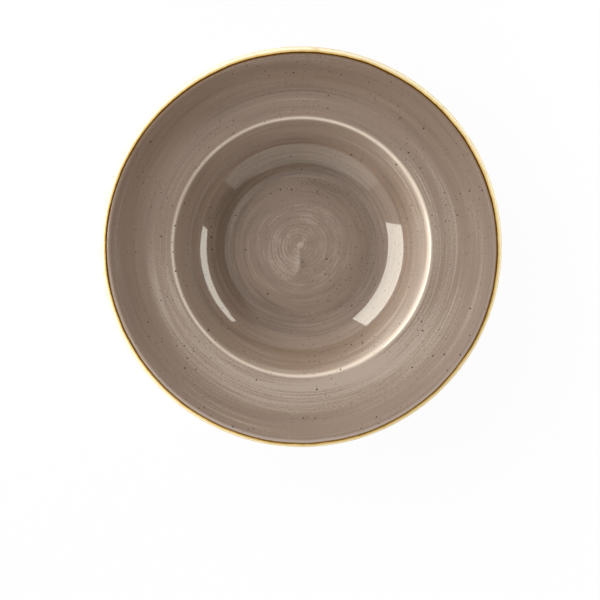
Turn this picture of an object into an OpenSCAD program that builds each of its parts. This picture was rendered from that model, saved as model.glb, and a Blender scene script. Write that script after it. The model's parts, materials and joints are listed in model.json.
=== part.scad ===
// Rimmed soup plate in glazed stoneware: a deep well, a wide dished rim and a rolled lip.
// The origin is under the middle of the plate, at the level of the table, with +Z up. Sizes are in millimetres.

/* [Overall] */
// Diameter over the lip
plate_d = 280; // [250:1:310]
// Height from the table to the crown of the lip
plate_h = 54.2; // [48:0.1:60]
// Thickness of every glaze coat
glaze_t = 0.4; // [0.2:0.05:0.6]

/* [Well] */
// Diameter of the crest between the well and the rim
well_d = 182; // [160:1:196]
// Height of that crest above the table
crest_h = 39.8; // [36:0.1:44]
// Slope of the inner wall under the crest, in degrees from level
wall_slope = 51; // [46:1:58]
// Rounding of the crest
crest_r = 2.2; // [1:0.1:5]
// Radius of the sweep from the floor up to the wall
sweep_r = 42; // [25:1:46]
// Thickness under the middle of the well
floor_t = 5.2; // [4:0.1:7]
// Diameter of the level middle of the floor
floor_d = 40; // [20:1:60]
// Rise of the floor from its middle to the corner under the sweep
floor_rise = 0.9; // [0.3:0.1:1.6]
// Radius of the bend where the floor begins to rise
floor_bend_r = 400; // [200:10:500]

/* [Rim] */
// Radius of the dished sweep along the face of the rim
rim_sweep_r = 95; // [50:1:110]
// Radius of the dished sweep along the back of the rim
back_sweep_r = 48; // [30:1:56]
// Place of the bend in the face, as shares of the way from crest to lip: outwards, then up
face_bend_share = [0.577, 0.28];
// Place of the bend in the back, as shares of the way from shoulder to ledge: outwards, then up
back_bend_share = [0.709, 0.302];

/* [Lip] */
// Thickness of the rolled lip
lip_t = 5.3; // [4.4:0.1:6.5]
// Rounding of the lip's outer side, above and below
lip_round_r = 2.6; // [1.5:0.1:3]
// Width of the crown from the outer side to where the face of the rim meets it
crown_w = 6.2; // [4.5:0.1:7.5]
// Rounding where the face of the rim rolls over into the crown
crown_r = 6; // [3:0.5:8]
// Width of the flat ledge under the lip
ledge_w = 9.1; // [7:0.1:11]
// Rounding in the corner where the ledge meets the back of the rim
undercut_r = 1; // [0.6:0.1:2]

/* [Shoulder and belly] */
// Thickness from the crest down to the corner of the shoulder
shoulder_t = 5.8; // [4.5:0.1:7]
// Distance that the corner of the shoulder lies outside the crest
shoulder_out = 0.4; // [0:0.1:2]
// Radius of the hollow curve under the shoulder
shoulder_r = 14.7; // [8:0.1:20]
// Width of clay, measured level, from the corner of the well to the corner of the belly
belly_w = 9; // [7.5:0.1:11]
// Distance that the corner of the belly lies below the corner of the well
belly_drop = 0.2; // [0:0.1:1.5]
// Radius of the belly between the foot and the outer wall
belly_r = 62; // [40:1:70]

/* [Foot ring] */
// Diameter of the foot ring over its standing edge
foot_d = 101; // [90:1:108]
// Width of the ring where it stands
foot_w = 4.6; // [3.5:0.1:7]
// Depth of the recess inside the ring
recess_h = 2.2; // [1.6:0.1:3]
// Height of the ring's outer wall, up to the belly
foot_wall_h = 0.7; // [0.5:0.1:1.2]
// Distance that the outer wall leans out between the table and the belly
foot_lean = 1.1; // [0.6:0.1:2]
// Distance that the inner wall leans in between the table and the recess
recess_lean = 1; // [0.5:0.1:2]
// Rounding of the ring's two standing edges
foot_edge_r = 0.7; // [0.3:0.1:1]
// Rounding in the corner of the recess
recess_r = 1.4; // [0.8:0.1:2]
// Height of bare clay on the inner wall of the ring
bare_h = 0.8; // [0.5:0.1:1.1]

/* [Detail] */
// Facets once round the plate
round_facets = 180; // [60:12:360]
// Largest gap between a curve in the outline and its chords
chord_gap = 0.02; // [0.01:0.01:0.1]

/* [Hidden] */

lip_x = plate_d / 2;
ledge_z = plate_h - lip_t;
crest_x = well_d / 2;
floor_z = recess_h + floor_t;
foot_x = foot_d / 2;

// Corners of the well and of the belly, where their straight stretches would meet if nothing were rounded
well_corner = [crest_x - (crest_h - floor_z - floor_rise) / tan(wall_slope), floor_z + floor_rise];
belly_corner = well_corner + [belly_w, -belly_drop];
shoulder_corner = [crest_x + shoulder_out, crest_h - shoulder_t];

// The point that lies the given shares of the way from one corner to another
function between(from, to, share) = [for (i = [0, 1]) from[i] + (to[i] - from[i]) * share[i]];

face_bend = between([crest_x, crest_h], [lip_x - crown_w, plate_h], face_bend_share);
back_bend = between(shoulder_corner, [lip_x - ledge_w, ledge_z], back_bend_share);

// Each path is a list of corners [distance from the axis, height, rounding]. It runs with the clay on its left:
// outwards under the plate, up round the lip, and inwards over the top. The first three lie on the glaze.
underside_path = [
    [foot_x + foot_lean, foot_wall_h, 0],
    [belly_corner.x, belly_corner.y, belly_r],
    [shoulder_corner.x, shoulder_corner.y, shoulder_r],
    [back_bend.x, back_bend.y, back_sweep_r],
    [lip_x - ledge_w, ledge_z, undercut_r],
    [lip_x, ledge_z, lip_round_r],
    [lip_x, plate_h - lip_round_r, 0]
];
band_path = [
    [lip_x, plate_h - lip_round_r, 0],
    [lip_x, plate_h, lip_round_r],
    [lip_x - lip_round_r, plate_h, 0]
];
top_path = [
    [lip_x - lip_round_r, plate_h, 0],
    [lip_x - crown_w, plate_h, crown_r],
    [face_bend.x, face_bend.y, rim_sweep_r],
    [crest_x, crest_h, crest_r],
    [well_corner.x, well_corner.y, sweep_r],
    [floor_d / 2, floor_z, floor_bend_r],
    [0, floor_z, 0]
];

// The recess is drawn on the clay, so that its wall runs straight on into the bare foot
recess_z = recess_h + glaze_t;
recess_wall_x = foot_x - foot_w - recess_lean;
bare_x = recess_wall_x + recess_lean * (recess_z - bare_h) / recess_z;
recess_path = [
    [0, recess_z, 0],
    [recess_wall_x, recess_z, recess_r],
    [bare_x, bare_h, 0]
];

function flat(p) = [p.x, p.y];
function unit(v) = v / norm(v);
function left_of(v) = [-v.y, v.x];
function heading(path, i) = unit(flat(path[i + 1]) - flat(path[i]));
function is_end(path, i) = i == 0 || i == len(path) - 1;

// Angle by which a path turns at a corner, positive to the left, which is round a bulge in the clay
function turn_at(path, i) =
    is_end(path, i) ? 0 :
    let (a = heading(path, i - 1), b = heading(path, i))
    atan2(a.x * b.y - a.y * b.x, a * b);

// Distance along the straights that a corner's rounding uses up
function reach_at(path, i) = path[i][2] * tan(abs(turn_at(path, i)) / 2);

// Share of that reach for which the straight after corner i has room
function room_after(path, i) =
    let (used = reach_at(path, i) + reach_at(path, i + 1), there = norm(flat(path[i + 1]) - flat(path[i])))
    used > there ? there / used : 1;

// The path with each rounding limited by the straights beside it
function fitted(path) = [
    for (i = [0 : len(path) - 1])
        [path[i].x, path[i].y,
         is_end(path, i) ? 0 : path[i][2] * min(room_after(path, i - 1), room_after(path, i))]
];

// A fitted path moved to its left by t, with its roundings kept concentric
function shifted(path, t) = [
    for (i = [0 : len(path) - 1])
        let (
            a = left_of(heading(path, max(i - 1, 0))),
            b = left_of(heading(path, min(i, len(path) - 2))),
            p = flat(path[i]) + t * (a + b) / (1 + a * b),
            grown = path[i][2] - sign(turn_at(path, i)) * t
        )
        [p.x, p.y, is_end(path, i) ? 0 : max(grown, 0)]
];

// Points along the arc that rounds one corner
function arc_points(path, i) =
    let (
        turn = turn_at(path, i),
        r = path[i][2],
        start = flat(path[i]) - heading(path, i - 1) * reach_at(path, i),
        spoke = left_of(heading(path, i - 1)) * r * sign(turn),
        step = 2 * acos(1 - chord_gap / max(r, chord_gap)),
        count = max(ceil(abs(turn) / step), 1)
    )
    [for (k = [0 : count])
        let (a = turn * k / count)
        start + spoke - [spoke.x * cos(a) - spoke.y * sin(a), spoke.x * sin(a) + spoke.y * cos(a)]];

// The finished outline along a path, with arcs at its rounded corners
function outline(path) = [
    for (i = [0 : len(path) - 1])
        each (path[i][2] > 0 ? arc_points(path, i) : [flat(path[i])])
];

function backwards(points) = [for (i = [len(points) - 1 : -1 : 0]) points[i]];
function all_but_first(points) = [for (i = [1 : len(points) - 1]) points[i]];

// Both faces of each coat, as outlines: the one that shows, and the one against the clay
underside_face = outline(fitted(underside_path));
underside_clay = outline(shifted(fitted(underside_path), glaze_t));
band_face = outline(fitted(band_path));
band_clay = outline(shifted(fitted(band_path), glaze_t));
top_face = outline(fitted(top_path));
top_clay = outline(shifted(fitted(top_path), glaze_t));
base_clay = outline(fitted(recess_path));
base_face = outline(shifted(fitted(recess_path), -glaze_t));

// The bare foot, from the edge of the glaze in the recess to the edge of the glaze on the belly
foot_clay = outline(fitted([
    [bare_x, bare_h, 0],
    [foot_x - foot_w, 0, foot_edge_r],
    [foot_x, 0, foot_edge_r],
    [underside_clay[0].x, underside_clay[0].y, 0]
]));

module turned(points) {
    rotate_extrude($fn = round_facets) polygon(points);
}

module coat(face, clay) {
    turned(concat(face, backwards(clay)));
}

// Fired clay with the well, the dished rim, the rolled lip and the bare foot ring
module ceramic_body() {
    color("#ddd3c2") turned(concat(
        base_clay,
        all_but_first(foot_clay),
        all_but_first(underside_clay),
        all_but_first(band_clay),
        all_but_first(top_clay)
    ));
}

// Taupe gloss over the whole upper face, up to the crown of the lip
module top_glaze() {
    color("#8f7e71") coat(top_face, top_clay);
}

// Ochre band round the crown and the outer side of the lip
module rim_band() {
    color("#c8963a") coat(band_face, band_clay);
}

// White gloss from the band round the lip and down the back to the foot ring
module underside_glaze() {
    color("#ebe8e2") coat(underside_face, underside_clay);
}

// White gloss in the recess inside the foot ring
module base_glaze() {
    color("#e4e1db") coat(base_face, base_clay);
}

ceramic_body();
top_glaze();
rim_band();
underside_glaze();
base_glaze();
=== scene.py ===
"""Rimmed soup plate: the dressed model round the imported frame.

Each coat of glaze is a fine lathe mesh. Its section is read from the CAD node that it
stands for, so the form stays the frame's, and the potter's marks are added on top."""
import json
import math
import random
from itertools import product

import bpy
import numpy as np
from bpy.props import FloatProperty, FloatVectorProperty, IntProperty, PointerProperty
from mathutils import Matrix, Vector

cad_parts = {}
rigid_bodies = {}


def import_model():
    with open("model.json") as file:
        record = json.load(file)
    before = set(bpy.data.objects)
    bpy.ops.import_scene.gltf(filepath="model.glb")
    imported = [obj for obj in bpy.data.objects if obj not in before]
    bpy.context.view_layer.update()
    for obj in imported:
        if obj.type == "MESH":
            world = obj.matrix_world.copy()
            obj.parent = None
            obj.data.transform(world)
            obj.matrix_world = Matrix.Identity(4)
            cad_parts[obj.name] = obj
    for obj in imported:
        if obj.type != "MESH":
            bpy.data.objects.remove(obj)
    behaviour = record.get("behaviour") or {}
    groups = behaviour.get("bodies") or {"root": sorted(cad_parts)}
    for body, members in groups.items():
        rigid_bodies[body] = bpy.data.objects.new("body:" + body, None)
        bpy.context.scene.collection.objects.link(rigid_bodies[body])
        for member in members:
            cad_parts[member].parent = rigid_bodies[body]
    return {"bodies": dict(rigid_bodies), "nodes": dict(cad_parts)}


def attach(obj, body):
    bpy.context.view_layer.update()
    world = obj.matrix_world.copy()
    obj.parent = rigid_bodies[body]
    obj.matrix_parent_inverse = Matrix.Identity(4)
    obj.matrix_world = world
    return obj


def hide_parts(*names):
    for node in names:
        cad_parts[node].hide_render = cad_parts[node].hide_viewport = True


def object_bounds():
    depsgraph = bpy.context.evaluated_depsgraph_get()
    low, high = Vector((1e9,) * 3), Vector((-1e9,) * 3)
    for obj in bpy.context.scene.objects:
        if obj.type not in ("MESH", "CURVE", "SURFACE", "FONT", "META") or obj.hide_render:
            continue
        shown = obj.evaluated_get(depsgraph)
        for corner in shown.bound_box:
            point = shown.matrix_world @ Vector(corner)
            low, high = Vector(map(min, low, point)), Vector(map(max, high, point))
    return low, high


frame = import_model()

bl_info = {
    "name": "Rimmed soup plate",
    "version": (1, 0, 0),
    "blender": (4, 5, 0),
    "location": "View3D > Sidebar > Soup plate",
    "description": "Glazes, foot and studio for a rimmed soup plate",
    "category": "Object",
}

MM = 0.001
TAU = 2 * math.pi
SAME = 0.03 * MM  # two section points nearer than this are one
FINE = 0.02 * MM  # steps in which the bend of a curve is measured
SHARP = math.radians(50)  # edges that bend more than this are shaded sharp
FACE_GIVE, LIP_GIVE = 8 * MM, 3 * MM  # length over which rows give way to a shore
AWAY = 9 * MM  # so far from a painted edge nothing of it shows
GLASS = 1.5  # refractive index of the glazes
CREST = 91 * MM  # radius of the crest between the well and the rim
CROWN = 53.6 * MM, 52.7 * MM  # heights between which the band's crown becomes its side
EYE = -1.25 * MM, 1.8 * MM  # where the swirl was thrown, a little off the centre
# Rings in which the face glaze is lighter, or below 0 darker: radius, width, how much.
# The darkest ring, at the foot of the well's wall, is painted shade.
RINGS = (99 * MM, 12 * MM, 0.18), (77 * MM, 5 * MM, -0.12), (57 * MM, 11 * MM, -0.5)
# Lamps: under its setting each has a name, a width, its low and its high edge, both as
# (distance, height), the azimuth that it stands at and, where it leans, the angle.
LIGHTS = {
    "window": ("window_light", 0.452, (0.385, 0.03), (0.3, 0.408), 161),
    "strip": ("strip_light", 0.46, (0.4, 0.108), (0.4, 0.236), 18),
    "card": ("front_card", 0.98, (0.4, 0.05), (0.4, 0.6), 270),
    "lip": ("lip_light", 0.6, (0.5, 0.07), (0.5, 0.16), 290),
    "base": ("base_light", 0.3, (-0.1, -0.3), (0.2, -0.3), 0),
    "window_gleam": ("window_gleam", 0.207, (0.17, 0.045), (0.144, 0.226), 161),
    "strip_gleam": ("strip_gleam", 0.46, (0.4, 0.108), (0.4, 0.236), 18, -9),
    "card_gleam": ("card_gleam", 0.21, (0.09, 0.04), (0.09, 0.191), 270),
}
DIM = 2.4  # the brightest that one lamp of a stack may be
STACK = 0.004  # how much further away each lamp of a stack is than the one before
CREAM_LIGHT = 0.99, 0.98, 0.87  # colour of the lamps that the gloss shows
VEIL_LIFT = 1 * MM  # how far a veil hangs above the face
SHEET_STEPS = 64  # faces round the floor and the veils
NODES = frame["nodes"]
for found in set(bpy.data.objects) - {*NODES.values(), *frame["bodies"].values()}:
    bpy.data.objects.remove(found)  # what an empty file starts with
CAD_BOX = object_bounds()


# ---------------------------------------------------------------- sizes and colours


def length(name, description, default):
    """A length in metres, shown in the user's unit."""
    return FloatProperty(
        name=name,
        description=description,
        default=default,
        unit="LENGTH",
        precision=5,
        min=0,
    )


def colour(name, description, default):
    """A colour in linear light."""
    return FloatVectorProperty(
        name=name,
        description=description,
        default=default,
        size=3,
        subtype="COLOR",
        min=0,
        max=1,
    )


class PlateSizes(bpy.types.PropertyGroup):
    """Sizes of what the potter's hand leaves on the glaze."""

    turn_steps: IntProperty(
        name="Steps in a turn",
        description="Faces round the plate in each coat",
        default=480,
        min=96,
        max=720,
    )
    face_step: length("Step along", "Longest step along a coat's section", 1.3 * MM)
    swirl_pitch: length("Swirl pitch", "Distance between turns of the swirl", 4.2 * MM)
    ring_pitch: length("Ring pitch", "Distance between the rings round it", 2.7 * MM)
    swirl_depth: length("Swirl depth", "How deep the swirl is thrown", 0.03 * MM)
    swirl_reach: length("Swirl reach", "Radius at which the swirl dies out", 30 * MM)
    base_pitch: length("Base pitch", "Distance between the rings of the base", 7 * MM)
    brush_width: length("Brush line", "Width of one line of the brush", 1.5 * MM)
    band_lap: length(
        "Band lap", "How far the edge band laps over the face glaze", 1.62 * MM
    )
    band_lean: length(
        "Band lean", "How much further it laps on one side than on average", 0.9 * MM
    )
    band_drop: length(
        "Band drop", "How far the edge band runs down over the white glaze", 0.7 * MM
    )
    band_wander: length(
        "Band wander", "How far the painted edges wander to each side", 0.28 * MM
    )
    band_line: length("Dark line", "Width of the dark line inside the band", 1.4 * MM)
    band_run: length("Runs", "How far the band's glaze runs down the lip", 0.5 * MM)
    band_step: length("Band step", "Step along the band's section", 0.3 * MM)
    band_thick: length(
        "Band thickness", "How thick the band is at its painted edges", 0.36 * MM
    )
    shore_dip: length("Dip at edges", "Dip of a glaze where two coats meet", 0.05 * MM)
    shore_reach: length("Dip's reach", "How far in from its edge it dips", 1.6 * MM)


class PlateColours(bpy.types.PropertyGroup):
    """Colours of the glazes and the clay."""

    taupe: colour("Taupe", "Face glaze where it lies even", (0.226, 0.155, 0.109))
    taupe_light: colour("Light taupe", "Thin brush lines", (0.37, 0.29, 0.225))
    taupe_dark: colour("Dark taupe", "Thick brush lines", (0.14, 0.093, 0.064))
    # The crest's light line: the glaze thinning there, and towards the main light a
    # painted highlight.
    taupe_broken_highlight: colour(
        "Broken taupe", "Face glaze that thins over the crest", (0.66, 0.55, 0.44)
    )
    taupe_shore: colour(
        "Taupe by the band", "Face glaze next to the edge band", (0.45, 0.36, 0.305)
    )
    iron: colour("Iron", "Specks in the face glaze", (0.035, 0.02, 0.014))
    ochre: colour("Ochre", "Edge band on the lip's side", (0.7, 0.38, 0.035))
    gold: colour("Gold", "Thin streaks on the lip's side", (0.86, 0.62, 0.17))
    rust: colour("Rust", "Face side of the dark line", (0.17, 0.085, 0.03))
    honey: colour("Honey", "Edge band where it is thin", (0.72, 0.46, 0.12))
    # Over the lip's crown the cream is partly a painted highlight.
    cream: colour("Cream", "Edge band over the lip's crown", (0.98, 0.89, 0.62))
    burnt: colour("Burnt", "Pooled edge of the band", (0.08, 0.034, 0.006))
    white: colour("White", "Glaze underneath", (0.74, 0.725, 0.7))
    # It also darkens the white towards the foot.
    white_pool: colour("Pooled white", "White glaze lying thick", (0.66, 0.66, 0.645))
    clay: colour("Clay", "Bare clay of the foot ring", (0.66, 0.60, 0.51))
    clay_worn: colour("Worn clay", "Foot ring rubbed by the table", (0.45, 0.40, 0.34))
    floor: colour("Floor", "Studio floor", (0.82, 0.82, 0.82))


def strength(name, description, default):
    """How bright a light is, where 1 shows a white as white."""
    return FloatProperty(name=name, description=description, default=default, min=0)


class PlateStudio(bpy.types.PropertyGroup):
    """The studio light: what each lamp gives, and how bright the gloss shows it."""

    window: strength("Window", "Large softbox on the left", 2.4)
    window_gleam: strength("Window gleam", "The left softbox in the gloss", 9.8)
    strip: strength("Strip", "Low softbox on the right", 5.4)
    strip_gleam: strength("Strip gleam", "The right softbox in the gloss", 9.8)
    card: strength("Card", "Reflector card at the front", 1.1)
    card_gleam: strength("Card gleam", "The reflector card in the gloss", 1.1)
    lip: strength("Lip light", "Low lamp at the front, for the lip's side", 1.6)
    base: strength("Base light", "Lamp below, for the base and the foot ring", 2.6)
    sky: strength("Sky", "Soft light from behind the left shoulder", 5.2)
    screen: strength("Screen", "Dark curtain on the right, in the gloss", 0.08)


# ---------------------------------------------------------------- sections


def section(node):
    """A CAD node's section: its (radius, height) points in order, in metres."""
    mesh = node.data
    places = np.empty(3 * len(mesh.vertices))
    mesh.vertices.foreach_get("co", places)
    places = places.reshape(-1, 3)
    rings, cells = [], {}

    def ring(r, z):
        """The number of the ring here, or of a new one if none is nearer than SAME."""
        a, b = int(r / SAME), int(z / SAME)
        for da, db in product((0, -1, 1), repeat=2):
            k = cells.get((a + da, b + db))
            if k is not None and math.dist(rings[k], (r, z)) < SAME:
                return k
        rings.append((r, z))
        cells[a, b] = len(rings) - 1
        return cells[a, b]

    radii = np.hypot(places[:, 0], places[:, 1])
    ring_of = np.array([ring(r, z) for r, z in zip(radii, places[:, 2])])
    ends = np.empty(2 * len(mesh.edges), int)
    mesh.edges.foreach_get("vertices", ends)
    links = [set() for _ in rings]
    for a, b in ring_of[ends].reshape(-1, 2):
        if a != b:
            links[a].add(int(b))
            links[b].add(int(a))
    if any(len(found) > 2 for found in links):
        raise RuntimeError(f"{node.name} isn't a turned part")
    loose = [k for k, found in enumerate(links) if len(found) == 1]
    walk = [min(loose or range(len(rings)), key=lambda k: rings[k][0])]
    while True:
        onward = [k for k in links[walk[-1]] if k not in walk[-2:] and k != walk[0]]
        if not onward or len(walk) == len(rings):
            break
        walk.append(onward[0])
    return np.array([rings[k] for k in walk])


def sides(coat, clay):
    """A coat's (shown side, clay side): the points off the clay and those on it."""
    points, body = section(coat), section(clay)
    held = np.array([np.hypot(*(body - p).T).min() < SAME for p in points])
    count = len(points)
    first = next(i for i in range(count) if not held[i] and held[i - 1])
    order = [(first + i) % count for i in range(count)]
    shown = points[[i for i in order if not held[i]]]
    back = points[[i for i in order if held[i]]][::-1]
    return shown, back


def outwards(points):
    """The points with the end nearer the axis first."""
    return points if points[0][0] < points[-1][0] else points[::-1]


def starting_at(points, place):
    """The points with the end nearer to the place first."""
    nearer = math.dist(points[0], place) <= math.dist(points[-1], place)
    return points if nearer else points[::-1]


class Curve:
    """A smooth curve through section points, read by the length along it."""

    def __init__(self, points):
        # Long straight steps are cut up, so that they stay straight.
        cut = [points[0]]
        for p, q in zip(points, points[1:]):
            count = math.ceil(math.dist(p, q) / MM)
            cut += [p + (q - p) * (k + 1) / count for k in range(count)]
        self.points = np.array(cut)
        step = np.hypot(*np.diff(self.points, axis=0).T)
        self.at = np.r_[0, np.cumsum(step)]
        slope = np.diff(self.points, axis=0) / step[:, None]
        inner = (slope[:-1] * step[1:, None] + slope[1:] * step[:-1, None]) / (
            step[:-1] + step[1:]
        )[:, None]
        self.slope = np.vstack([slope[:1], inner, slope[-1:]])
        self.slope /= np.hypot(*self.slope.T)[:, None]

    @property
    def end(self):
        return self.at[-1]

    def place(self, point):
        """The length at which the curve passes this point."""
        return self.at[np.hypot(*(self.points - point).T).argmin()]

    def read(self, s):
        """(places, normals) at these lengths; normals point to the left of the way."""
        s = np.clip(s, 0, self.end)
        i = np.clip(np.searchsorted(self.at, s, side="right") - 1, 0, len(self.at) - 2)
        h = (self.at[i + 1] - self.at[i])[..., None]
        t = (s - self.at[i])[..., None] / h
        p, q = self.points[i], self.points[i + 1]
        m, n = self.slope[i], self.slope[i + 1]
        place = (
            (2 * t**3 - 3 * t**2 + 1) * p
            + (t**3 - 2 * t**2 + t) * h * m
            + (3 * t**2 - 2 * t**3) * q
            + (t**3 - t**2) * h * n
        )
        way = (
            (6 * t**2 - 6 * t) * (p - q) / h
            + (3 * t**2 - 4 * t + 1) * m
            + (3 * t**2 - 2 * t) * n
        )
        way /= np.linalg.norm(way, axis=-1, keepdims=True)
        return place, np.stack([-way[..., 1], way[..., 0]], -1)

    def stops(self, start, end, longest, turn=math.radians(3)):
        """Lengths from start to end, closer together where the curve bends."""
        fine = np.linspace(start, end, int((end - start) / FINE) + 2)
        normal = self.read(fine)[1]
        bend = np.arccos(np.clip((normal[1:] * normal[:-1]).sum(1), -1, 1))
        cost = np.r_[0, np.cumsum(np.maximum(bend / turn, np.diff(fine) / longest))]
        return np.interp(np.linspace(0, cost[-1], int(cost[-1]) + 2), cost, fine)


# ---------------------------------------------------------------- meshes


def angles(steps):
    """Equal steps round the plate."""
    return np.arange(steps) * TAU / steps


def wander(seed, around, waves=(3, 46)):
    """A smooth closed wobble between about -1 and 1."""
    draw = random.Random(seed)
    total = np.zeros_like(around)
    for k in range(*waves):
        size = draw.uniform(0.4, 1) / k**0.6
        total += size * np.sin(k * around + draw.uniform(0, TAU))
    return total / np.abs(total).max()


def runs(seed, around, count, widths=(0.006, 0.03)):
    """Short runs of glaze at random places: 0 between them, 1 at the longest."""
    draw = random.Random(seed)
    total = np.zeros_like(around)
    for _ in range(count):
        place, width, size = draw.uniform(0, TAU), draw.uniform(*widths), draw.random()
        off = (around - place + math.pi) % TAU - math.pi
        total = np.maximum(total, size * np.exp(-((off / width) ** 2)))
    return total


def turned(name, rows, around, poles=False, facts=None):
    """A closed mesh from rows of (radius, height) at each angle; rows go round the
    section. With poles the first and last row are points on the axis."""
    radius, height = rows[..., 0], rows[..., 1]
    count, steps = radius.shape
    x, y = radius * np.cos(around), radius * np.sin(around)
    grid = np.stack([x, y, height], -1)
    index = np.arange(count * steps).reshape(count, steps)
    if poles:
        places = np.vstack([grid[0, :1], grid[1:-1].reshape(-1, 3), grid[-1, :1]])
        index = index[1:-1] - steps + 1
        last = len(places) - 1
    else:
        places = grid.reshape(-1, 3)
        index = np.vstack([index, index[:1]])
    a, b = index[:-1], index[1:]
    quads = np.stack([a, b, np.roll(b, -1, 1), np.roll(a, -1, 1)], -1).reshape(-1, 4)
    faces = quads.tolist()
    if poles:
        for tip, ring in ((0, index[0]), (last, index[-1][::-1])):
            faces += [[tip, int(p), int(q)] for p, q in zip(ring, np.roll(ring, -1))]
    mesh = bpy.data.meshes.new(name)
    mesh.from_pydata(places.tolist(), [], faces)
    if volume(places, faces) < 0:
        mesh.flip_normals()
    for key, values in (facts or {}).items():
        if poles:
            values = np.r_[values[0, 0], values[1:-1].ravel(), values[-1, 0]]
        layer = mesh.attributes.new(key, "FLOAT", "POINT")
        layer.data.foreach_set("value", values.ravel().astype(np.float32))
    mesh.shade_smooth()
    mesh.set_sharp_from_angle(angle=SHARP)
    piece = bpy.data.objects.new(name, mesh)
    bpy.context.scene.collection.objects.link(piece)
    return piece


def volume(places, faces):
    """Six times the volume inside these faces, negative if they look inwards."""
    total = 0.0
    for corners in (3, 4):
        flat = np.array([f for f in faces if len(f) == corners])
        if len(flat):
            for k in range(1, corners - 1):
                p, q, r = places[flat[:, 0]], places[flat[:, k]], places[flat[:, k + 1]]
                total += np.einsum("ij,ij->", p, np.cross(q, r))
    return total


def raised(curve, s, height):
    """Section places at lengths s, lifted off the curve by height."""
    place, normal = curve.read(s)
    return place + normal * height[..., None]


def inside(rows):
    """The rows, kept within the CAD part's box."""
    rows[..., 0] = np.minimum(rows[..., 0], CAD_BOX[1][0])
    rows[..., 1] = np.clip(rows[..., 1], 0, CAD_BOX[1][2])
    return rows


def ridges(radius, pitch, around):
    """Low ridges a pitch apart that wind round the axis, between 0 and 1."""
    return 0.5 - 0.5 * np.cos(TAU * radius / pitch + around)


def back_rows(points, steps):
    """Rows for a coat's clay side, the same at every angle."""
    return np.repeat(np.asarray(points)[:, None, :], steps, axis=1)


def edge_facts(shore, back):
    """The fact to_band: how far a place is from the band's edge, and on the clay side,
    where nothing shows, far."""
    return {"to_band": np.concatenate([shore, np.full(back.shape[:2], AWAY)]) / MM}


def whole_face():
    """(curve, length at the band's inner edge, length at its outer edge, sides)."""
    coats = "top_glaze", "rim_band", "underside_glaze"
    found = {key: sides(NODES[key], NODES["ceramic_body"]) for key in coats}
    top, band, under = (found[key][0] for key in coats)
    top = outwards(top)
    top = np.vstack([[0, top[0][1]], top])
    band = starting_at(band, top[-1])
    under = starting_at(under, band[-1])
    if math.dist(band[0], top[-1]) > SAME or math.dist(under[0], band[-1]) > SAME:
        raise RuntimeError("the coats don't meet")
    curve = Curve(np.vstack([top, band[1:], under[1:]]))
    inner, outer = curve.place(top[-1]), curve.place(band[-1])
    return curve, inner, outer, found


def shores(sizes, inner, outer, around):
    """Where the band's painted edges run, as lengths along the face at each angle."""
    narrow = math.radians(278)  # the side on which the band laps over least
    lap = sizes.band_lap - sizes.band_lean * np.cos(around - narrow)
    upper = inner - lap + sizes.band_wander * wander(11, around)
    lower = (
        outer
        + sizes.band_drop
        + sizes.band_wander * wander(12, around, (3, 70))
        + sizes.band_run * runs(13, around, 46)
    )
    return upper, lower


def near(distance, reach):
    """1 at a shore, falling smoothly to 0 at reach."""
    return 0.5 + 0.5 * np.cos(math.pi * np.clip(distance / reach, 0, 1))


def follow(stops, fixed, free, target):
    """Rows of lengths: stops as they are as far as fixed, and drawn from there so that
    free lands on target at each angle."""
    share = np.clip((stops - fixed) / (free - fixed), 0, 1)[:, None]
    return stops[:, None] + share * (target - free)


# ---------------------------------------------------------------- materials


class Term:
    """A socket that can be reckoned with; each sign adds a node."""

    def __init__(self, recipe, socket):
        self.recipe, self.socket = recipe, socket

    def __add__(self, other):
        return self.recipe.math("ADD", self, other)

    def __sub__(self, other):
        return self.recipe.math("SUBTRACT", self, other)

    def __rsub__(self, other):
        return self.recipe.math("SUBTRACT", other, self)

    def __mul__(self, other):
        return self.recipe.math("MULTIPLY", self, other)

    def __truediv__(self, other):
        return self.recipe.math("DIVIDE", self, other)

    __radd__, __rmul__ = __add__, __mul__


class Nodes:
    """The nodes of a material or of the sky, their owner, and what adds to them."""

    def __init__(self, owner):
        self.owner = owner
        owner.use_nodes = True
        self.tree = owner.node_tree
        self.tree.nodes.clear()

    def node(self, kind, inputs=None, **settings):
        """A new node with these settings, and with these values or sockets fed in."""
        made = self.tree.nodes.new(kind)
        for key, value in settings.items():
            setattr(made, key, value)
        for key, value in (inputs or {}).items():
            self.feed(made.inputs[key], value)
        return made

    def feed(self, socket, value):
        if isinstance(value, Term):
            value = value.socket
        if isinstance(value, bpy.types.NodeSocket):
            self.tree.links.new(value, socket)
        elif socket.type == "RGBA":
            socket.default_value = (*value, 1)
        else:
            socket.default_value = value

    def term(self, kind, inputs=None, **settings):
        """What a new node gives first."""
        return Term(self, self.node(kind, inputs, **settings).outputs[0])

    def math(self, operation, *values):
        return self.term("ShaderNodeMath", dict(enumerate(values)), operation=operation)

    def background(self):
        """1 for rays that see the background as white: the camera's, and those from
        gloss and through glass."""
        path = self.node("ShaderNodeLightPath").outputs
        seen = path["Is Camera Ray"]
        for key in ("Is Glossy Ray", "Is Transmission Ray"):
            seen = self.math("MAXIMUM", seen, path[key])
        return seen

    def blend(self, share, first, second):
        """The first shader, with share of the second."""
        return self.term("ShaderNodeMixShader", {0: share, 1: first, 2: second})

    def show(self, shader, kind="ShaderNodeOutputMaterial"):
        """The owner shows this shader."""
        self.node(kind, {"Surface": shader})


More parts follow.
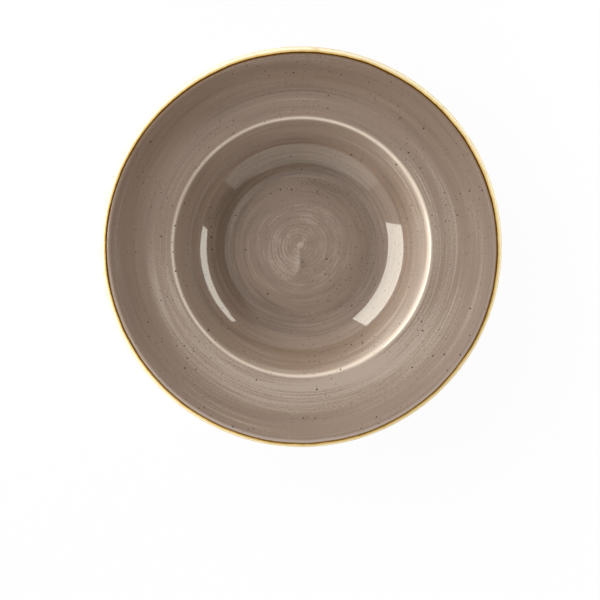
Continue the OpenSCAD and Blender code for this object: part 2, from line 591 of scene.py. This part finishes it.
class Recipe(Nodes):
    """A new material and the terms that it is made of, in the plate's coordinates."""

    def __init__(self, name):
        super().__init__(bpy.data.materials.new(name))
        place = self.node("ShaderNodeTexCoord").outputs["Object"]
        parts = self.node("ShaderNodeSeparateXYZ", {"Vector": place})
        self.place = Term(self, place)
        self.x, self.y, self.z = (Term(self, parts.outputs[k]) for k in "XYZ")

    def vector(self, x, y, z=0.0):
        return self.term("ShaderNodeCombineXYZ", {"X": x, "Y": y, "Z": z})

    def reach(self, x, y):
        """The distance from the axis."""
        return self.math("SQRT", x * x + y * y)

    def ease(self, value, start, end, low=0.0, high=1.0):
        """low before start, high after end, smooth between."""
        inputs = {
            "Value": value,
            "From Min": start,
            "From Max": end,
            "To Min": low,
            "To Max": high,
        }
        return self.term("ShaderNodeMapRange", inputs, interpolation_type="SMOOTHSTEP")

    def hill(self, value, centre, width):
        """1 at centre, falling off to both sides over about width."""
        off = (value - centre) / width
        return self.math("EXPONENT", off * off * -1)

    def noise(self, place, scale=1.0, detail=2.0, rough=0.5):
        """Soft noise about 0.5; scale is how much of it fits in a metre."""
        inputs = {
            "Vector": place,
            "Scale": scale,
            "Detail": detail,
            "Roughness": rough,
        }
        return self.term("ShaderNodeTexNoise", inputs)

    def dots(self, scale, size, share, seed=0.0):
        """Round dots up to size across, the least a quarter of it, in a share of the
        cells, of which scale fit in a metre, laid out in plan; 1 inside a dot."""
        moved = self.vector(self.x + seed, self.y - seed)
        cells = self.node(
            "ShaderNodeTexVoronoi",
            {"Vector": moved, "Scale": scale, "Randomness": 1.0},
            voronoi_dimensions="2D",
        )
        chance = self.node("ShaderNodeSeparateColor", {"Color": cells.outputs["Color"]})
        kept = self.math("LESS_THAN", Term(self, chance.outputs[0]), share)
        radius = Term(self, chance.outputs[1]) * (0.37 * size) + 0.13 * size
        rim = Term(self, cells.outputs["Distance"]) / scale
        return self.ease(rim, radius * 1.25, radius * 0.75) * kept

    def mix(self, share, a, b):
        """Colour a, with share of colour b."""
        factor = {"Factor": share}
        made = self.node("ShaderNodeMix", factor, data_type="RGBA", clamp_factor=True)
        tones = [socket for socket in made.inputs if socket.type == "RGBA"]
        for socket, tone in zip(tones, (a, b)):
            self.feed(socket, tone)
        return Term(self, next(s for s in made.outputs if s.type == "RGBA"))

    def fact(self, name):
        """A number that the mesh carries, such as the distance from a painted edge."""
        made = self.node("ShaderNodeAttribute", attribute_name=name)
        return Term(self, made.outputs["Fac"])

    def bump(self, height, distance):
        """The face's direction where a relief of 0 to 1 is this distance high."""
        return self.term("ShaderNodeBump", {"Height": height, "Distance": distance})

    def back(self):
        """1 where the face is seen from behind."""
        return self.node("ShaderNodeNewGeometry").outputs["Backfacing"]

    def finish(self, colour, roughness, normal, haze=0.15, gloss=None):
        """The material: a satin body with a soft haze, and over it a clear smooth skin
        where gloss gives (how much of it, its roughness, its own bump)."""
        inputs = {
            "Base Color": colour,
            "Roughness": roughness,
            "Normal": normal,
            "Specular IOR Level": haze,
            "IOR": GLASS,
            "Coat IOR": GLASS,
        }
        if gloss:
            inputs |= zip(("Coat Weight", "Coat Roughness", "Coat Normal"), gloss)
        self.show(self.term("ShaderNodeBsdfPrincipled", inputs))
        return self.owner


def taupe_glaze(sizes, colours):
    """Brushed glaze with iron specks: its strokes run round the plate, and it is thin
    over the crest. Some of its colour is painted light and shade, as marked below."""
    m = Recipe("taupe_glaze_brushed")
    radius = m.reach(m.x, m.y)
    # In the middle all is reckoned from the eye of the swirl.
    middle = m.ease(radius, sizes.swirl_reach, 8 * MM)
    x, y = m.x - middle * EYE[0], m.y - middle * EYE[1]
    r = m.reach(x, y)
    swirl = m.ease(r, sizes.swirl_reach, 16 * MM)
    bend = m.ease(r, 15 * MM, 28 * MM, 0.0, 0.4 / TAU)
    ragged = (m.noise(m.vector(r / (0.9 * MM), 0.0)) - 0.5) * 0.05
    turn = m.math("WRAP", m.math("ARCTAN2", x, y) / TAU - bend + ragged, 0.5, -0.5)
    across = r + turn * swirl * sizes.swirl_pitch
    ux, uy = x / (r + 0.5 * MM), y / (r + 0.5 * MM)

    def strokes(width, count, detail, seed):
        """Noise drawn out round the plate; count is how many strokes make a turn."""
        row = across / width + seed
        return m.noise(m.vector(ux * count, uy * count, row), 1.0, detail, 0.55)

    line = strokes(sizes.brush_width, 1.2, 2.0, 0.0)
    hair = strokes(0.4 * sizes.brush_width, 1.7, 1.0, 31.0)
    sweep = strokes(4.5 * sizes.brush_width, 1.2, 1.0, 57.0)
    cloud = m.noise(m.place, 16.0, 2.0)
    grain = m.noise(m.place, 900.0, 2.0, 0.7)
    ring = m.math("SINE", across * (TAU / sizes.ring_pitch))
    # This points to the side that faces the main light, on the right, and away from it
    # on the left; the painted light and shade below follow it.
    thin = ux * 0.97 - uy * 0.26
    wedge = m.ease(m.math("ABSOLUTE", turn), 0.5, 0.488) * turn * turn * turn * 4
    strong = m.ease(radius, 96 * MM, 112 * MM, 0.9, 0.55) - swirl * 0.4
    light = (line - 0.5) * strong
    for part, share in ((hair, 0.7), (sweep, 0.9), (cloud, 0.3), (grain, 0.75)):
        light += (part - 0.5) * share
    for centre, width, share in RINGS:
        light += m.hill(radius, centre, width) * share
    # Painted light and shade: the rim is lighter at the front and darker at the back,
    # and the crest's inner slope lighter towards the main light and darker away from it.
    light += (ux * 0.12 - uy) * m.hill(radius, 103 * MM, 13 * MM) * 0.38
    light += m.ease(uy, -0.6, -1.0) * m.hill(radius, 95 * MM, 12 * MM) * 0.25
    light += thin * m.hill(radius, 85 * MM, 6 * MM) * 0.18
    # The middle of the well is painted lighter, a painted reflection, and the swirl has
    # dark steps, a light eye and rings round it.
    light += m.ease(radius, 30 * MM, 22 * MM) * 0.14
    light += ring * m.ease(r, 44 * MM, 6 * MM, 0.0, 0.1)
    light -= wedge * swirl * m.ease(r, 1.5 * MM, 4 * MM) * 0.85
    light += m.hill(r, 0.0, 1.9 * MM) * 1.1
    tint = m.mix(m.ease(light, 0.0, -0.75), colours.taupe, colours.taupe_dark)
    tint = m.mix(m.ease(light, 0.0, 0.75), tint, colours.taupe_light)
    shore = m.fact("to_band")
    tint = m.mix(m.ease(shore, 2.8, 0.8) * (0.25 - uy * 0.5), tint, colours.taupe_shore)
    # The glaze thins and breaks lighter over the crest; towards the main light its line is
    # painted wider, a painted highlight.
    bare = m.ease(thin, 0.0, 1.0)
    crest = m.hill(radius, CREST - bare * (0.7 * MM), bare * (0.6 * MM) + 1.05 * MM)
    crest *= line * 0.4 + 0.75
    tint = m.mix(crest, tint, colours.taupe_broken_highlight)
    clusters = m.ease(m.noise(m.place, 30.0, 1.0), 0.42, 0.58, 0.15, 1.0)
    specks = m.dots(120.0, 1.35 * MM, 0.36) * m.ease(clusters, 0.0, 0.5)
    grains = m.dots(260.0, 0.9 * MM, 0.5, 3.7) * clusters
    seen = m.math("MAXIMUM", specks, grains * 0.85)
    tint = m.mix(seen, tint, colours.iron)
    satin = m.ease(line, 0.3, 0.8, 0.42, 0.52)
    # The well's wall has more haze than the rest, most of it on the right.
    wall = (ux * 0.94 + uy * 0.34) * 0.2 + 0.6
    haze = m.ease(radius, 72 * MM, 88 * MM, 0.15, wall)
    haze -= m.ease(radius, CREST - 1 * MM, CREST + 2 * MM, 0.0, wall - 0.15)
    relief = line * 0.6 + hair * 0.4 - seen * 1.2
    skin = m.bump(relief, 0.004 * MM)
    rough = m.bump(relief, 0.03 * MM)
    return m.finish(tint, satin, rough, haze, (1.0, 0.035, skin))


def edge_glaze(sizes, colours):
    """The painted edge: burnt line, cream crown, ochre side and a broken lower edge. The
    cream over the crown is partly a painted highlight.
    """
    m = Recipe("ochre_glaze_edge")
    inner, lower = m.fact("to_face"), m.fact("to_underside")
    patch = m.noise(m.place, 75.0, 3.0, 0.6)
    drag = m.noise(m.place, 420.0, 2.0, 0.6)
    around = m.reach(m.x, m.y)
    ux, uy = m.x / around, m.y / around
    streak = m.noise(m.vector(ux * 9.0, uy * 9.0, m.z / (0.6 * MM)))
    # The line between the band and the face is thinner and paler at the front.
    front = m.ease(uy, 0.0, -1.0)
    line = sizes.band_line / MM
    wide = line * (1.0 - front * 0.2) + (patch - 0.5) * 0.8
    # Cream over the crown, where the glaze runs thin, and partly a painted highlight;
    # ochre on the side below.
    side = m.ease(m.z + (patch - 0.5) * (0.9 * MM), *CROWN)
    honeyed = m.ease(patch, 0.56, 0.72) * 0.5
    tint = m.mix(honeyed, colours.cream, colours.honey)
    ragged = inner + (drag - 0.5) * 0.4
    tint = m.mix(m.ease(ragged, wide + 1.9, wide + 0.4), tint, colours.honey)
    flank = m.mix(m.ease(streak, 0.4, 0.6), colours.ochre, colours.gold)
    tint = m.mix(side, tint, flank)
    pooled = m.ease(ragged, wide + 0.2, wide - 0.2) * (1.0 - front * 0.1)
    burnt = m.mix(m.ease(inner, 0.7, 0.2), colours.burnt, colours.rust)
    spots = m.ease(lower + (drag - 0.5) * 0.6, 0.6, 0.15) * m.ease(patch, 0.38, 0.5)
    dark = m.math("MAXIMUM", pooled, spots)
    tint = m.mix(dark, tint, burnt)
    satin = m.ease(drag, 0.3, 0.8, 0.3, 0.42)
    relief = drag * 0.5 + patch - dark * 0.5
    skin = m.bump(relief, 0.012 * MM)
    rough = m.bump(relief, 0.04 * MM)
    haze = (1.0 - dark) * 0.15
    return m.finish(tint, satin, rough, haze, (1.0 - dark, 0.06, skin))


def white_glaze(name, colours, by_band=False):
    """Plain white glaze with a faint orange peel, darker in cloudy patches and
    towards the foot.
    """
    m = Recipe(name)
    radius = m.reach(m.x, m.y)
    cloud = m.noise(m.place, 28.0, 3.0)
    peel = m.noise(m.place, 520.0, 1.0)
    fine = m.noise(m.place, 1900.0, 1.0)
    # Darker towards the foot.
    foot = m.ease(m.z, 6 * MM, 1 * MM) * 0.6
    pooled = m.ease(cloud, 0.4, 0.75) * 0.5 + foot
    tint = m.mix(pooled, colours.white, colours.white_pool)
    specks = m.dots(95.0, 0.7 * MM, 0.22, 8.1)
    tint = m.mix(specks * 0.55, tint, colours.clay_worn)
    if by_band:
        stain = m.ease(m.fact("to_band") + (peel - 0.5) * 0.8, 1.1, 0.0) * 0.55
        tint = m.mix(stain, tint, colours.honey)
    turning = m.noise(m.vector(m.z / (1.6 * MM), radius / (1.6 * MM)), 1.0, 1.0)
    satin = m.ease(cloud, 0.3, 0.8, 0.34, 0.44) + specks * 0.1
    relief = peel * 0.6 + fine * 0.1 + turning * 0.5 - specks * 0.8
    skin = m.bump(relief, 0.008 * MM)
    rough = m.bump(relief, 0.03 * MM)
    return m.finish(tint, satin, rough, 0.3, (1.0, 0.06, skin))


def bare_clay(colours):
    """Unglazed clay of the foot: sandy, sponged, and rubbed grey where it stands."""
    m = Recipe("fired_clay_bare")
    grain = m.noise(m.place, 2600.0, 3.0, 0.7)
    cloud = m.noise(m.place, 90.0, 3.0)
    grit = m.dots(900.0, 0.5 * MM, 0.4, 5.3)
    worn = m.ease(m.z, 0.35 * MM, 0.0) * m.ease(cloud, 0.42, 0.62)
    grey = m.ease(grain, 0.35, 0.7) * 0.4 + worn * 0.6
    tint = m.mix(grey, colours.clay, colours.clay_worn)
    tint = m.mix(grit * 0.5, tint, colours.iron)
    rough = m.ease(worn, 0.0, 1.0, 0.88, 0.62)
    return m.finish(tint, rough, m.bump(grain + grit * 0.6, 0.08 * MM))


def dress(piece, material, slot, *nodes):
    """The piece takes the place of these CAD nodes on the plate's one body."""
    piece.data.materials.clear()
    piece.data.materials.append(material)
    if nodes:
        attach(piece, "root")
        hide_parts(*nodes)


# ---------------------------------------------------------------- pieces


def build_top(scene):
    """The face's coat, with the swirl and a dip where it meets the band."""
    sizes = scene.plate_sizes
    curve, inner, outer, found = whole_face()
    around = angles(sizes.turn_steps)
    upper, _ = shores(sizes, inner, outer, around)
    stops = curve.stops(0, inner, sizes.face_step)
    s = follow(stops, inner - FACE_GIVE, inner, upper)
    radius = curve.read(s)[0][..., 0]
    swirl = np.clip((sizes.swirl_reach - radius) / (0.5 * sizes.swirl_reach), 0, 1) ** 2
    swirl *= np.clip(radius / (4 * MM), 0, 1)
    lift = -sizes.swirl_depth * swirl * ridges(radius, sizes.swirl_pitch, -around)
    shore = upper - s
    lift -= sizes.shore_dip * near(shore, sizes.shore_reach)
    back = outwards(found["top_glaze"][1])[::-1]
    back = back_rows(np.vstack([back, [0, back[-1][1]]]), len(around))
    rows = np.concatenate([inside(raised(curve, s, lift)), back])
    return turned("face_coat", rows, around, poles=True, facts=edge_facts(shore, back))


def build_band(scene):
    """The painted edge, between its two wandering shores."""
    sizes = scene.plate_sizes
    curve, inner, outer, found = whole_face()
    around = angles(sizes.turn_steps)
    upper, lower = shores(sizes, inner, outer, around)
    stops = curve.stops(inner - sizes.band_lap, outer, sizes.band_step)
    share = (stops - stops[0]) / (stops[-1] - stops[0])
    s = upper + share[:, None] * (lower - upper)
    shown = inside(raised(curve, s, np.zeros_like(s)))
    ends = np.stack([upper, lower])
    low = raised(curve, ends, np.full(ends.shape, -sizes.band_thick))
    back = starting_at(found["rim_band"][1], curve.read(np.array(inner))[0])
    back = back_rows(back[1:-1][::-1], len(around))
    rows = np.concatenate([shown, low[1:], back, low[:1]])
    to_face, to_low = np.zeros(rows.shape[:2]), np.full(rows.shape[:2], AWAY)
    to_face[: len(s)], to_low[: len(s)] = s - upper, lower - s
    facts = {"to_face": to_face / MM, "to_underside": to_low / MM}
    return turned("edge_band", rows, around, facts=facts)


def build_underside(scene):
    """The white coat from the band's lower edge to the foot ring."""
    sizes = scene.plate_sizes
    curve, inner, outer, found = whole_face()
    around = angles(sizes.turn_steps)
    _, lower = shores(sizes, inner, outer, around)
    stops = curve.stops(outer, curve.end, sizes.face_step)
    s = follow(stops, outer + LIP_GIVE, outer, lower)
    shore = s - lower
    dip = -sizes.shore_dip * near(shore, 0.75 * sizes.shore_reach)
    back = starting_at(found["underside_glaze"][1], curve.points[-1])
    back = back_rows(back, len(around))
    rows = np.concatenate([inside(raised(curve, s, dip)), back])
    return turned("underside_coat", rows, around, facts=edge_facts(shore, back))


def build_base(scene):
    """The white coat inside the foot ring, with the rings of the turning tool."""
    sizes = scene.plate_sizes
    around = angles(sizes.turn_steps)
    shown, back = sides(NODES["base_glaze"], NODES["ceramic_body"])
    shown, back = outwards(shown), outwards(back)
    curve = Curve(np.vstack([[0, shown[0][1]], shown]))
    rows = curve.read(curve.stops(0, curve.end, 2 * sizes.face_step))[0]
    rows = np.repeat(rows[:, None], len(around), axis=1)
    radius = rows[..., 0]
    # The rings die out in the middle and next to the foot ring.
    fade = np.clip((curve.points[-1][0] - 3 * MM - radius) / (8 * MM), 0, 1)
    fade *= np.clip(radius / (6 * MM), 0, 1)
    rows[..., 1] += sizes.swirl_depth * fade * ridges(radius, sizes.base_pitch, around)
    back = back_rows(np.vstack([back[::-1], [0, back[0][1]]]), len(around))
    return turned("base_coat", np.concatenate([rows, back]), around, poles=True)


class PLATE_OT_face(bpy.types.Operator):
    """Glaze the face of the plate"""

    bl_idname = "soup_plate.face"
    bl_label = "Face glaze"

    def execute(self, context):
        scene = context.scene
        piece = build_top(scene)
        glaze = taupe_glaze(scene.plate_sizes, scene.plate_colours)
        dress(piece, glaze, "taupe_glaze", "top_glaze")
        return {"FINISHED"}


class PLATE_OT_band(bpy.types.Operator):
    """Paint the edge band over the lip"""

    bl_idname = "soup_plate.band"
    bl_label = "Edge band"

    def execute(self, context):
        scene = context.scene
        piece = build_band(scene)
        glaze = edge_glaze(scene.plate_sizes, scene.plate_colours)
        dress(piece, glaze, "ochre_glaze", "rim_band")
        return {"FINISHED"}


class PLATE_OT_white(bpy.types.Operator):
    """Glaze the underside and the base in white"""

    bl_idname = "soup_plate.white"
    bl_label = "White glazes"

    def execute(self, context):
        scene = context.scene
        colours = scene.plate_colours
        under = white_glaze("white_glaze_underside", colours, by_band=True)
        dress(build_underside(scene), under, "white_glaze", "underside_glaze")
        base = white_glaze("white_glaze_base", colours)
        dress(build_base(scene), base, "white_glaze", "base_glaze")
        return {"FINISHED"}


class PLATE_OT_clay(bpy.types.Operator):
    """Leave the foot ring in bare clay"""

    bl_idname = "soup_plate.clay"
    bl_label = "Clay body"

    def execute(self, context):
        body = NODES["ceramic_body"]
        dress(body, bare_clay(context.scene.plate_colours), "fired_clay")
        return {"FINISHED"}


# ---------------------------------------------------------------- studio


def polar(azimuth, distance, height):
    """The place at this azimuth in degrees, distance from the axis and height."""
    a = math.radians(azimuth)
    return Vector((distance * math.cos(a), distance * math.sin(a), height))


def only(*names):
    """A collection of these pieces, for a lamp that reaches nothing else."""
    group = bpy.data.collections.new("_".join(("only", *names)))
    for name in names:
        group.objects.link(bpy.data.objects[name])
    return group


def lamp(name, bright, width, low, high, azimuth, tilt=0.0, gleam=False, pieces=None):
    """A soft rectangular lamp that faces the plate. It lights the plate, or with gleam
    it only shows in the gloss: then it is a stack of dim lamps, as one bright one would
    be cut short. With pieces it reaches only the pieces of that collection."""
    low, high = (polar(azimuth, *edge) for edge in (low, high))
    up, place = high - low, (low + high) / 2
    side = Vector((0, 0, 1)).cross(place * Vector((1, 1, 0))).normalized()
    back = side.cross(up).normalized()
    turn = Matrix((side, up.normalized(), back)).transposed().to_4x4()
    turn = turn @ Matrix.Rotation(math.radians(tilt), 4, "Z")
    count = math.ceil(bright / DIM) if gleam else 1
    for k in range(count):
        light = bpy.data.lights.new(name, "AREA")
        light.shape = "RECTANGLE"
        light.size, light.size_y = width, up.length
        light.energy = bright / count * math.pi * width * up.length
        light.color = CREAM_LIGHT if gleam else (1, 1, 1)
        made = bpy.data.objects.new(name, light)
        made.matrix_world = Matrix.Translation(place * (1 + STACK * k)) @ turn
        made.visible_camera = False
        made.visible_diffuse = not gleam
        made.visible_glossy = gleam
        made.light_linking.receiver_collection = pieces
        bpy.context.scene.collection.objects.link(made)


def build_lamps(studio):
    """The lamps that light the plate, and apart from them those in its gloss."""
    face, base = only("face_coat"), only("base_coat", NODES["ceramic_body"].name)
    for key, (name, *place) in LIGHTS.items():
        gleam = key.endswith("_gleam")
        pieces = face if gleam else base if key == "base" else None
        lamp(name, getattr(studio, key), *place, gleam=gleam, pieces=pieces)


def sheet(name, rings, around, closed=True):
    """A thin sheet through rings of (radius, height) at these angles."""
    places = [(r * math.cos(a), r * math.sin(a), z) for r, z in rings for a in around]
    steps, faces = len(around), []
    for low in range(0, len(places) - steps, steps):
        top = low + steps
        for j in range(steps if closed else steps - 1):
            k = (j + 1) % steps
            faces.append((low + j, top + j, top + k, low + k))
    mesh = bpy.data.meshes.new(name)
    mesh.from_pydata(places, [], faces)
    made = bpy.data.objects.new(name, mesh)
    bpy.context.scene.collection.objects.link(made)
    return made


def build_floor(colours):
    """A wide pale floor that shows white and keeps the plate's shadow. It is open under
    the foot, so that the foot and the base aren't black from below."""
    radii = 0.051, 0.2, 0.6, 1.6, 4.0, 9.0  # from the opening outwards
    floor = sheet("studio_floor", [(r, 0.0) for r in radii], angles(SHEET_STEPS))
    m = Recipe("studio_floor_white")
    tint = m.mix(m.noise(m.place, 3.0) * 0.1, colours.floor, (0.78, 0.78, 0.78))
    matt = m.term("ShaderNodeBsdfDiffuse", {"Color": tint})
    above = m.blend(m.background() * 0.94, matt, m.term("ShaderNodeEmission"))
    # From below the floor is clear, so that the foot can be seen.
    m.show(m.blend(m.back(), above, m.term("ShaderNodeBsdfTransparent")))
    floor.data.materials.append(m.owner)


def only_in_gloss(piece, m, glow, clear_above=False):
    """The piece shines with this glow, and only the gloss of the plate shows it."""
    piece.visible_camera = piece.visible_diffuse = piece.visible_shadow = False
    piece.visible_transmission = False
    shine = m.term("ShaderNodeEmission", {"Strength": glow})
    if clear_above:
        shine = m.blend(m.back(), m.term("ShaderNodeBsdfTransparent"), shine)
    m.show(shine)
    m.owner.cycles.emission_sampling = "NONE"
    piece.data.materials.append(m.owner)


def veil(name, first, last):
    """(sheet close over the face from one radius to another, recipe, radius in it)."""
    curve = whole_face()[0]
    # The crown is looked for in small steps, and then each 20th ring is taken.
    s = np.linspace(0, curve.end, 2000)
    lifted = raised(curve, s, np.full_like(s, VEIL_LIFT))
    face = lifted[: lifted[:, 0].argmax()]
    rings = face[(face[:, 0] > first) & (face[:, 0] < last)][::20]
    m = Recipe(f"{name}_white")
    return sheet(name, rings, angles(SHEET_STEPS)), m, m.reach(m.x, m.y)


def build_veils():
    """Veils over the well's floor and the rim, which only the gloss just under them
    shows: there it stays plain, and the lamps shine in the well's wall."""
    piece, m, radius = veil("studio_veil_well", 1 * MM, 53 * MM)
    glow = m.ease(radius, 28 * MM, 45 * MM, 1.0, 0.7)
    only_in_gloss(piece, m, glow, clear_above=True)
    piece, m, radius = veil("studio_veil_rim", 93 * MM, 136.5 * MM)
    facing = (m.x * 0.5 - m.y * 0.87) / radius
    glow = 1.0 - m.ease(radius, 104 * MM, 120 * MM) * (0.5 - facing * 0.45)
    only_in_gloss(piece, m, glow, clear_above=True)


def build_screen(studio):
    """A curved curtain on the right, dark below and white above, that keeps the shine
    off the well's left wall. Only the gloss shows it."""
    reach, foot, head = 0.75, 0.03, 2.2
    middle, half = math.radians(-25), 1.92
    rings = [(reach, z) for z in np.linspace(foot, head, 9)]
    around = np.linspace(middle - half, middle + half, 49)
    screen = sheet("studio_screen", rings, around, closed=False)
    m = Recipe("studio_screen_cloth")
    facing = (m.x * math.cos(middle) + m.y * math.sin(middle)) / reach
    dark = m.ease(facing, -0.34, 0.6) * m.ease(m.z, head, 0.5 * head)
    only_in_gloss(screen, m, m.ease(dark, 0.0, 1.0, 1.0, studio.screen))


def build_sky(studio):
    """White all round for the camera and the gloss; what lights the plate comes from
    low on the left."""
    m = Nodes(bpy.data.worlds.new("studio_sky"))
    bpy.context.scene.world = m.owner
    azimuth, rise, tight = 150, math.radians(15), 4.0
    way = m.node("ShaderNodeTexCoord").outputs["Generated"]
    ways = {0: way, 1: polar(azimuth, math.cos(rise), math.sin(rise))}
    facing = m.node("ShaderNodeVectorMath", ways, operation="DOT_PRODUCT")
    glow = m.math("MAXIMUM", facing.outputs["Value"], 0.0)
    glow = m.math("POWER", glow, tight) * studio.sky
    light = m.term("ShaderNodeBackground", {"Strength": glow})
    white = m.term("ShaderNodeBackground", {"Color": (1, 1, 1)})
    m.show(m.blend(m.background(), light, white), "ShaderNodeOutputWorld")


def build_camera():
    """Straight above the plate, leaning so that the plate stands in the upper part."""
    top, rise, lens = CAD_BOX[1][2], 1.5, 128.9
    eye = Vector((0, 0, top + rise))
    aim = Vector((-1.1 * MM, -36.8 * MM, top))
    data = bpy.data.cameras.new("camera")
    data.sensor_width, data.lens = 36, lens
    data.clip_start, data.clip_end = 0.05, 50
    camera = bpy.data.objects.new("camera", data)
    back = (eye - aim).normalized()
    side = Vector((0, 1, 0)).cross(back).normalized()
    turn = Matrix((side, back.cross(side), back)).transposed().to_4x4()
    camera.matrix_world = Matrix.Translation(eye) @ turn
    bpy.context.scene.collection.objects.link(camera)
    bpy.context.scene.camera = camera


class PLATE_OT_studio(bpy.types.Operator):
    """Set up the floor, the soft light and the camera"""

    bl_idname = "soup_plate.studio"
    bl_label = "Studio"

    def execute(self, context):
        scene = context.scene
        studio = scene.plate_studio
        scene.view_settings.view_transform = "Standard"
        build_floor(scene.plate_colours)
        build_sky(studio)
        build_screen(studio)
        build_veils()
        build_lamps(studio)
        build_camera()
        return {"FINISHED"}


# ---------------------------------------------------------------- panel and run


class PLATE_PT_panel(bpy.types.Panel):
    """The plate's sizes, colours and lights, and the steps that build it"""

    bl_label = "Soup plate"
    bl_idname = "PLATE_PT_panel"
    bl_space_type = "VIEW_3D"
    bl_region_type = "UI"
    bl_category = "Soup plate"

    def draw(self, context):
        layout = self.layout
        for group in (getattr(context.scene, key) for key in GROUPS):
            box = layout.box()
            for key in group.bl_rna.properties.keys():
                if key not in ("rna_type", "name"):
                    box.prop(group, key)
        for step in STEPS:
            layout.operator(step.bl_idname)


GROUPS = {
    "plate_sizes": PlateSizes,
    "plate_colours": PlateColours,
    "plate_studio": PlateStudio,
}
STEPS = (PLATE_OT_face, PLATE_OT_band, PLATE_OT_white, PLATE_OT_clay, PLATE_OT_studio)
CLASSES = (*GROUPS.values(), *STEPS, PLATE_PT_panel)


def register():
    for made in CLASSES:
        bpy.utils.register_class(made)
    for key, group in GROUPS.items():
        setattr(bpy.types.Scene, key, PointerProperty(type=group))


def unregister():
    for key in GROUPS:
        delattr(bpy.types.Scene, key)
    for made in reversed(CLASSES):
        bpy.utils.unregister_class(made)


def main():
    register()
    for step in STEPS:
        group, name = step.bl_idname.split(".")
        getattr(getattr(bpy.ops, group), name)()


if __name__ == "__main__":
    main()
